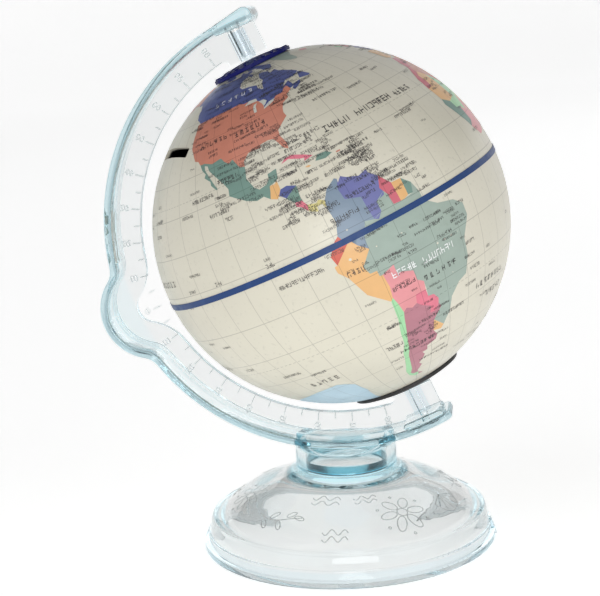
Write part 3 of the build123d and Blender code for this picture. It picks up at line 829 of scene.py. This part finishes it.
# ---------------------------------------------------------------- fine print
# Each name: longitude, latitude, signs, height in mm, then spread and 1 for light print where needed.
NAMES = """
    -61.4 25.4 5 2.7 / -45 25.4 8 2.7 0.98 / -30 25 5 2.4 / -109.5 38.4 6 2.1 1.25 / -91.2 37.1 6 2.1 1.25 /
    -98 54 6 2.2 1.6 1 / -62.6 -12.3 5 2.5 1 1 / -50 -12.7 7 2.5 1 1 / -50.5 -17 6 2.1 1.55 /
    -64.6 -15.8 7 1.7 / -76 -7.5 4 1.9 1.15 / -75.4 -32.2 5 1.7 / -108 -34.3 5 2.3 1.45 / -91.6 -3.8 14 1.6 /
    -100.4 1.9 3 1.5 / -120 2.4 3 1.4 / -100.5 3.2 3 1.1 / -116.7 22.3 9 1.5 / -110.5 16.8 8 1.5 /
    -107.5 14.5 3 1.4 / -74 4.4 8 1.7 / -66.5 7.4 9 1.6 / -79.5 -1.8 7 1.3 / -66 -36 9 1.8 1.1 /
    -117 -27.4 9 1.2 / -107 -30 7 1.2 / -132.5 -21.6 6 1.2 / -154 -30 6 1.2 / -76.8 24.7 9 1.5 /
    -74.5 26.8 11 1.6 / -60.8 13 8 1.4 / -104.5 24.8 6 1.8 1.1 / -94 24.6 7 1.4 / -90 12.6 11 1.3 /
    -85 9 9 1.3 / -150 5 7 2.2 1.6 / -150 -20 5 2.2 1.8 / -25 -28 8 2.3 1.4 / -20 -33 5 2.3 1.4 /
    20 5 6 2.6 1.6 1 / 75 -20 6 2.3 1.4 / 75 -25 5 2.3 1.4 / 90 58 6 2.4 1.8 / 104 33 5 2.2 1.6 /
    134 -25 9 2 1.4 / 155 20 7 2.4 1.4 / 160 12 5 2.4 1.4 / 78 22 5 1.8 1.2 / -160 -58 7 1.4 1.2 /
    -36.8 -14.6 5 1.2 / -36.1 -21.6 6 1.2 / -48 -30.3 9 1.4 / -60 46 10 1.3 / -52 41 9 1.2 / -57 36 11 1.2 /
    -44 34 7 1.2 / -31 38 5 1.1 / -27 36 5 1.1"""

# Each crowd of small names: west, east, south, north, how many and their height in mm.
CROWDS = """
    -124 -70 29 50 62 0.95 / -120 -62 50 70 60 0.95 / -112 -90 15 31 26 1 / -98 -82 18 30 14 1 /
    -86 -60 13 22 26 1 / -92 -76 6 15 26 1.1 / -80 -66 20 29 12 1 / -66 -58 9 20 26 1 / -60 -46 2 9 16 1 /
    -80 -50 -3 11 24 1 / -79 -38 -22 -2 30 0.95 / -78 -52 -45 -22 34 1 / -78 -58 38 50 22 1 /
    -48 -34 -9 -1 10 1 / -80 -48 42 58 10 1 / -20 0 4 34 18 1 / -60 -30 12 20 6 1 / -160 -120 15 30 8 1 /
    -12 45 36 60 60 1 / 12 48 -34 34 80 1 / 30 140 48 70 60 1 / 45 140 8 46 90 1 / 95 150 -10 8 30 1 /
    114 152 -37 -13 26 1 / -175 -125 -25 12 16 1 / 150 180 -45 10 20 1 / -40 -8 -50 -5 12 1 /
    50 110 -50 -5 14 1"""


@dataclass(frozen=True)
class Word:
    """A line of unreadable print: where its middle is on the map, how long and how tall."""

    lon: float
    lat: float
    signs: float
    height: float
    spread: float = 1.0
    light: float = 0.0


@dataclass
class FinePrint:
    """Place names as rows of small strokes that spell nothing."""

    seed: int = 7
    lift: float = 0.13 * MM
    def strokes(self, rng: random.Random) -> list[tuple[float, float, float, float]]:
        """Strokes of one made-up sign, each a box in a cell of one by one."""
        thin = 0.14
        choices = [(0, 0, thin, 1), (0.6, 0, 0.6 + thin, 1), (0, 1 - thin, 0.75, 1), (0, 0, 0.75, thin),
                   (0, 0.42, 0.7, 0.42 + thin), (0.3, 0, 0.3 + thin, 1), (0, 0.5, thin, 1),
                   (0.6, 0, 0.6 + thin, 0.5)]
        return rng.sample(choices, rng.choice((3, 3, 4)))

    def write(self, bm: Shape, word: Word, rng: random.Random) -> None:
        """Add one word's strokes to a mesh."""
        lon, lat = PLACE.formed(word.lon, word.lat)
        scale = 180 / math.pi / (PLACE.radius * 1000)
        shrink = max(math.cos(math.radians(lat)), 0.2)
        pitch = word.height * 0.82 * word.spread
        start = -pitch * word.signs / 2
        for index in range(int(word.signs)):
            for x0, y0, x1, y1 in self.strokes(rng):
                corners = []
                for x, y in ((x0, y0), (x1, y0), (x1, y1), (x0, y1)):
                    u = (start + index * pitch + x * word.height * 0.8) * scale / shrink
                    v = (y - 0.5) * word.height * scale
                    corners.append(bm.verts.new(PLACE.spot(lon + u, lat + v, self.lift)))
                bm.faces.new(corners)

    def build(self) -> None:
        """Make the dark and the light print."""
        rng = random.Random(self.seed)
        dark, light = bmesh.new(), bmesh.new()
        for row in NAMES.split("/"):
            word = Word(*map(float, row.split()))
            self.write(light if word.light else dark, word, rng)
        for row in CROWDS.split("/"):
            west, east, south, north, count, size = map(float, row.split())
            for _ in range(int(count)):
                height = size * rng.uniform(0.75, 1.25)
                spot = rng.uniform(west, east), rng.uniform(south, north)
                self.write(dark, Word(*spot, rng.randint(3, 9), height), rng)
        for bm, name, finish in ((dark, "dark", MouldedPlastic("print_black", (58, 55, 56), 0.5)),
                                 (light, "light", MouldedPlastic("print_white", (226, 228, 228), 0.5))):
            piece_from(bm, "print_names_" + name, finish.material(), "globe")


# ---------------------------------------------------------------- clear stand
@dataclass
class ClearStand:
    """The clear base, arm and pivots as one body of plastic, so no joint shows inside it."""

    parts: tuple[str, ...] = ("meridian_arm", "base_dome", "north_pivot", "south_pivot")
    bond: tuple[float, float, float, float] = (16.8 * MM, 19.9 * MM, 31.7 * MM, 39.4 * MM)
    sharp: float = math.radians(32)

    def merged(self, node: str) -> Object:
        """A merged copy of a part, to be joined and then thrown away."""
        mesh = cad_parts[node].data.copy()
        if "custom_normal" in mesh.attributes:
            mesh.attributes.remove(mesh.attributes["custom_normal"])
        bm = opened(mesh)
        bmesh.ops.remove_doubles(bm, verts=bm.verts[:], dist=1e-6)
        return placed(node, stored(bm))

    def turned(self, low_r: float, high_r: float, low: float, high: float, place: Matrix) -> Object:
        """A ring, or a rod where the inner radius is nothing, about a vertical axis.

        Args:
            low_r, high_r: inner and outer radius.
            low, high: lower and upper end.
            place: where it goes.

        Returns:
            The ring as an object.
        """
        mesh = stored(lathe([(low_r, low), (high_r, low), (high_r, high), (low_r, high)], low_r > 0))
        mesh.transform(place)
        return placed("turned", mesh)

    def build(self, finish: Material) -> Object:
        """Join the parts into one clear piece that stands for all of them."""
        first, *others = [self.merged(node) for node in self.parts]
        others.append(self.turned(*self.bond, Matrix()))
        hollow = self.turned(0.0, 1.55 * MM, 73.2 * MM, 84.5 * MM, PLACE.matrix())
        for other in others + [hollow]:
            join = first.modifiers.new("join", "BOOLEAN")
            join.operation = "DIFFERENCE" if other is hollow else "UNION"
            join.solver, join.object = "MANIFOLD", other
        bpy.context.view_layer.update()
        mesh = bpy.data.meshes.new_from_object(first.evaluated_get(bpy.context.evaluated_depsgraph_get()))
        for spare in [first, *others, hollow]:
            bpy.data.objects.remove(spare)
        bm = opened(mesh)
        bmesh.ops.remove_doubles(bm, verts=bm.verts[:], dist=2e-6)
        bmesh.ops.dissolve_degenerate(bm, edges=bm.edges[:], dist=2e-6)
        piece = piece_from(bm, "clear_stand", finish, "stand", True)
        piece.data.set_sharp_from_angle(angle=self.sharp)
        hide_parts(*self.parts)
        return piece


@dataclass
class NeckBead:
    """The moulding's thick bead inside the neck; its deep teal is partly the plastic's own colour, seen through
    its thickness, and partly painted shade where the neck walls bend the light away.
    """

    edge: tuple[float, float, float, float] = (15.7 * MM, 17.8 * MM, 30.9 * MM, 31.32 * MM)
    wall: tuple[float, float, float, float] = (15.9 * MM, 16.42 * MM, 31.32 * MM, 34.6 * MM)

    def build(self, finish: Material) -> Object:
        """Turn the bead's profile once around the base's axis."""
        (e0, e1, e2, e3), (w0, w1, w2, w3) = self.edge, self.wall
        outline = ((e0, e2), (e1, e2), (e1, e3), (w1, w2), (w1, w3), (w0, w3), (w0, w2), (e0, e3))
        return piece_from(lathe(outline, True, 128), "neck_bead", finish, "stand", True)


# ---------------------------------------------------------------- arm
@dataclass
class DegreeScale:
    """Raised degree ticks and numerals on both faces of the arm's web."""

    web_half: float = 1.2 * MM
    rise: float = 0.3 * MM
    inner: float = 76.6 * MM
    numeral_at: float = 82.6 * MM
    numeral_height: float = 2.7 * MM

    def lay(self, part: Shape, target: Shape, spot: Vector, reading: Vector, side: int) -> None:
        """Lay a flat part on one face of the web.

        Args:
            part: the part, in the XY plane about the origin.
            target: the mesh that collects everything.
            spot: where its middle goes, in the arm's plane.
            reading: the direction its X runs in.
            side: -1 for the front face, 1 for the back face.
        """
        out = Vector((0, side, 0))
        frame_3 = Matrix((reading, out.cross(reading), out)).transposed().to_4x4()
        lift = out * (self.web_half + self.rise / 2 - 0.03 * MM)
        join_into(target, part, Matrix.Translation(spot + lift) @ frame_3)

    def build(self, finish: Material) -> Object:
        """Make all the ticks and numerals as one piece."""
        bm = bmesh.new()
        turn = Matrix.Rotation(-PLACE.lean, 3, "Y")
        for latitude in range(-80, 85, 5):
            tenth = latitude % 10 == 0
            a = math.radians(latitude)
            outward = (turn @ Vector((-math.cos(a), 0, math.sin(a)))).normalized()
            length = (3.4 if tenth else 2.2) * MM
            for side in (-1, 1):
                tick = bmesh.new()
                bmesh.ops.create_cube(tick, size=1.0)
                bmesh.ops.scale(tick, vec=(length, 0.42 * MM, self.rise), verts=tick.verts)
                bmesh.ops.bevel(tick, geom=tick.edges[:], offset=0.07 * MM, affect="EDGES", segments=1,
                                profile=0.5, material=-1)
                self.lay(tick, bm, PLACE.centre + outward * (self.inner + length / 2), outward, side)
                if tenth:
                    words = numerals(str(abs(latitude)), self.numeral_height, self.rise)
                    self.lay(words, bm, PLACE.centre + outward * self.numeral_at, outward * side, side)
        return piece_from(bm, "arm_degree_scale", finish, "stand")


# ---------------------------------------------------------------- base
class Motif(Enum):
    """Generic raised outlines on the dome."""

    SPRIG = "sprig"
    WAVE = "wave"
    SHELL = "shell"
    BLOSSOM = "blossom"


@dataclass
class BaseRelief:
    """Thin raised outlines that follow the dome."""

    line: float = 0.2 * MM
    layout: tuple[tuple[Motif, float, float, float], ...] = (
        (Motif.BLOSSOM, -54, 41, 9.5), (Motif.SPRIG, -124, 42, 10.0), (Motif.WAVE, -91, 47, 5.0),
        (Motif.WAVE, -100, 31, 5.5), (Motif.WAVE, -72, 31, 4.5), (Motif.SHELL, -22, 42, 7.0),
        (Motif.SPRIG, 12, 41, 9.0), (Motif.WAVE, 40, 46, 5.0), (Motif.BLOSSOM, 70, 41, 9.0),
        (Motif.SHELL, 105, 43, 7.0), (Motif.SPRIG, 140, 41, 9.5), (Motif.WAVE, 172, 46, 5.0),
        (Motif.BLOSSOM, -162, 40, 8.5),
    )

    def drawing(self, motif: Motif, size: float) -> list[list[Spot]]:
        """The strokes of a motif about its own middle, in millimetres."""
        steps = [i / 36 for i in range(37)]

        def around(radius: float, angle: float, squeeze: float = 1.0) -> Spot:
            """A point on a circle, or on one that is squeezed in height."""
            return radius * math.cos(angle), radius * squeeze * math.sin(angle)

        def oval(middle: Spot, a: float, b: float, tilt: float = 0.0) -> list[Spot]:
            """A closed oval about a point."""
            c, d = math.cos(tilt), math.sin(tilt)
            ring = [around(a, TURN * t, b / a) for t in steps[::2]] + [(a, 0.0)]
            return [(middle[0] + u * c - v * d, middle[1] + u * d + v * c) for u, v in ring]

        def stalk(t: float) -> Spot:
            """A point along the sprig's stem."""
            return size * (2 * t - 1), size * 0.25 * math.sin(math.pi * 1.3 * t)

        if motif is Motif.SPRIG:
            leaves = ((0.25, 1), (0.4, -1), (0.6, 1), (0.75, -1), (0.95, 0))
            return [[stalk(t) for t in steps]] + [
                oval((stalk(t)[0], stalk(t)[1] + side * size * 0.24), size * 0.22, size * 0.1, side * 0.9)
                for t, side in leaves]
        if motif is Motif.WAVE:
            return [[(size * (2 * t - 1), row + size * 0.22 * math.sin(2 * TURN * t)) for t in steps]
                    for row in (-size * 0.2, size * 0.35)]
        if motif is Motif.SHELL:
            hinge = (0.0, -size * 0.35)
            rim = [around(size, math.pi * t, 0.9) for t in steps]
            ribs = [[hinge, around(size * 0.92, math.pi * t, 0.82 / 0.92)] for t in (0.12, 0.3, 0.5, 0.7, 0.88)]
            return [rim, [(-size, 0.0), hinge, (size, 0.0)], *ribs]
        sixths = [k * TURN / 6 for k in range(6)]
        petals = [oval(around(size * 0.62, a), size * 0.36, size * 0.2, a) for a in sixths]
        dots = [oval(around(size * 1.05, a + 0.5), size * 0.05, size * 0.05) for a in sixths]
        return [*petals, *dots, oval((0, 0), size * 0.22, size * 0.22)]

    def build(self, finish: Material) -> Object:
        """Make all the outlines as one piece, laid on the dome."""
        dome = bmesh.new()
        dome.from_mesh(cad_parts["base_dome"].data)
        tree = BVHTree.FromBMesh(dome)
        dome.free()
        sheet = bmesh.new()
        for motif, angle, radius, size in self.layout:
            a = math.radians(angle)
            out = Vector((math.cos(a), math.sin(a), 0))
            side = Vector((-math.sin(a), math.cos(a), 0))
            for stroke in self.drawing(motif, size):
                curve = bpy.data.curves.new("stroke", "CURVE")
                curve.dimensions, curve.use_fill_caps = "3D", True
                curve.bevel_depth, curve.bevel_resolution = self.line, 1
                spots = []
                for x, y in stroke:
                    ground = out * (radius + y * 0.85) * MM + side * x * MM
                    hit, normal, *_ = tree.ray_cast(Vector((ground.x, ground.y, 0.06)), Vector((0, 0, -1)))
                    if hit is not None:
                        spots.append(hit - normal.normalized() * self.line * 0.35)
                spline = curve.splines.new("POLY")
                spline.points.add(len(spots) - 1)
                for point, spot in zip(spline.points, spots):
                    point.co = (*spot, 1)
                join_into(sheet, solid_of(curve), Matrix())
        return piece_from(sheet, "base_relief", finish, "stand", True)


# ---------------------------------------------------------------- dial
@dataclass
class HourNumbers:
    """Raised hour numbers on the dial's dished top."""

    ring: float = 10.6 * MM
    height: float = 2.3 * MM
    top: float = 71.7 * MM

    def build(self, finish: Material) -> Object:
        """Make the numbers as one piece."""
        bm = bmesh.new()
        for hour in range(2, 25, 2):
            words = numerals(str(hour), self.height, 0.35 * MM)
            rise = math.sqrt(self.top ** 2 - self.ring ** 2)
            dip = Matrix.Rotation(-math.asin(self.ring / self.top), 4, "X")
            spot = Matrix.Rotation(math.radians(hour * 15), 4, "Z") @ Matrix.Translation((0, self.ring, rise))
            join_into(bm, words, PLACE.matrix() @ spot @ dip)
        return piece_from(bm, "dial_numbers", finish, "dial")


# ---------------------------------------------------------------- studio
@dataclass
class Studio:
    """Floor, lights and camera."""

    eye: Vector = field(default_factory=lambda: Vector((0.0671, -0.6384, 0.2330)))
    aim: Vector = field(default_factory=lambda: Vector((-0.01538, 0.0, 0.09946)))
    roll: float = math.radians(-3.06)
    lens: float = 99.3
    glow: float = 0.60
    sky: tuple[float, float] = (0.035, 1.0)

    def floor(self) -> None:
        """A wide pale dish: flat in the middle, curving up to a low wall all around."""
        flat, bend, top = 2.2, 0.8, 1.1
        curve = [(flat + bend * math.sin(math.radians(a)), bend - bend * math.cos(math.radians(a)))
                 for a in range(10, 91, 10)]
        bm = lathe([(0.0, 0.0), (flat, 0.0), *curve, (flat + bend, top)], False, merge=1e-4)
        for face in bm.faces:
            face.smooth = True
        n = Nodes.fresh("floor_pale")
        shader = n.principled(Base_Color=(0.86, 0.86, 0.86, 1), Roughness=0.9, Emission_Color=(1, 1, 1, 1),
                              Emission_Strength=self.glow)
        obj = placed("floor", stored(bm, "floor"))
        obj.data.materials.append(n.finish(shader))

    def light(self, name: str, place: tuple[float, float, float], size: float, power: float) -> None:
        """Hang one large soft light that faces the globe."""
        data = bpy.data.lights.new(name, "AREA")
        data.shape, data.size, data.energy = "DISK", size, power
        lamp = placed(name, data)
        lamp.location = place
        lamp.rotation_euler = (Vector((0, 0, 0.11)) - Vector(place)).to_track_quat("-Z", "Y").to_euler()

    def camera(self) -> None:
        """Set the camera."""
        data = bpy.data.cameras.new("camera")
        data.lens, data.sensor_width, data.sensor_fit = self.lens, 36.0, "HORIZONTAL"
        camera = placed("camera", data)
        forward = (self.aim - self.eye).normalized()
        right = forward.cross(Vector((0, 0, 1))).normalized()
        up = right.cross(forward)
        across = right * math.cos(self.roll) + up * math.sin(self.roll)
        above = up * math.cos(self.roll) - right * math.sin(self.roll)
        facing = Matrix((across, above, -forward)).transposed().to_4x4()
        camera.matrix_world = Matrix.Translation(self.eye) @ facing
        bpy.context.scene.camera = camera

    def build(self) -> None:
        """Set up everything."""
        self.floor()
        self.light("key", (-0.8, -0.9, 1.5), 1.5, 6.0)
        self.light("fill", (1.2, -0.9, 0.8), 1.6, 4.6)
        self.light("back", (0.3, 1.2, 1.3), 1.6, 4.8)
        self.light("low", (0.2, -1.2, 0.1), 0.8, 7.0)
        world = bpy.data.worlds.new("studio")
        world.use_nodes = True
        tree = world.node_tree
        path, sky = tree.nodes.new("ShaderNodeLightPath"), tree.nodes.new("ShaderNodeMapRange")
        tree.links.new(path.outputs["Is Camera Ray"], sky.inputs[0])
        for socket, number in zip(sky.inputs[1:5], (0.0, 1.0, *self.sky)):
            socket.default_value = number
        tree.nodes["Background"].inputs["Color"].default_value = (1.0, 1.0, 1.0, 1.0)
        tree.links.new(sky.outputs[0], tree.nodes["Background"].inputs["Strength"])
        bpy.context.scene.world = world
        bpy.context.scene.view_settings.view_transform = "Standard"
        limits = bpy.context.scene.cycles
        limits.max_bounces, limits.transmission_bounces, limits.glossy_bounces = 32, 32, 16
        self.camera()


# ---------------------------------------------------------------- dressing
@dataclass
class Wardrobe:
    """Finishes for the parts that keep their own shape."""

    finishes: dict[str, Material] = field(default_factory=dict)

    def dress(self) -> None:
        """Give every carried-over part its finish."""
        clear = ClearPlastic().material()
        shell = ShellPrint().material()
        self.finishes = {
            "base_dome": clear, "meridian_arm": clear, "north_pivot": clear, "south_pivot": clear,
            "north_shell": shell, "south_shell": shell,
            "joint_ring": MouldedPlastic("inner_plastic", (60, 58, 54), 0.6).material(),
            "equator_band": MouldedPlastic("band_navy", (32, 62, 112), 0.38, shine=0.25).material(),
            "hour_dial": MouldedPlastic("dial_blue", (8, 15, 88), 0.45, shine=0.15).material(),
            "stopper_cap": MouldedPlastic("stopper_black", (18, 16, 16), 0.5, 0.00006).material(),
        }
        for node, material in self.finishes.items():
            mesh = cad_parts[node].data
            mesh.materials.clear()
            mesh.materials.append(material)
            LOG.info("%s wears %s", node, material.name)


def main() -> None:
    """Build every sub-assembly's looks in order."""
    logging.basicConfig(level=logging.INFO, format="%(message)s")
    Studio().build()
    wardrobe = Wardrobe()
    wardrobe.dress()
    WorldMap().build()
    FinePrint().build()
    clear = wardrobe.finishes["base_dome"]
    ClearStand().build(clear)
    frosted = ClearPlastic("clear_frosted", 90.0, 0.0001, (0.08, 0.2), (0.80, 0.82, 0.82))
    DegreeScale().build(frosted.material())
    BaseRelief().build(clear)
    # Deep teal for the neck bead: partly the plastic's tint, partly painted shade where the neck walls bend the
    # light away.
    bead_teal_and_shade = (0.26, 0.60, 0.70)
    NeckBead().build(ClearPlastic("clear_bead_tint_and_shade", 60.0, 0.0001, (0.05, 0.15), *[bead_teal_and_shade] * 8).material())
    HourNumbers().build(wardrobe.finishes["hour_dial"])


if __name__ == "__main__":
    main()
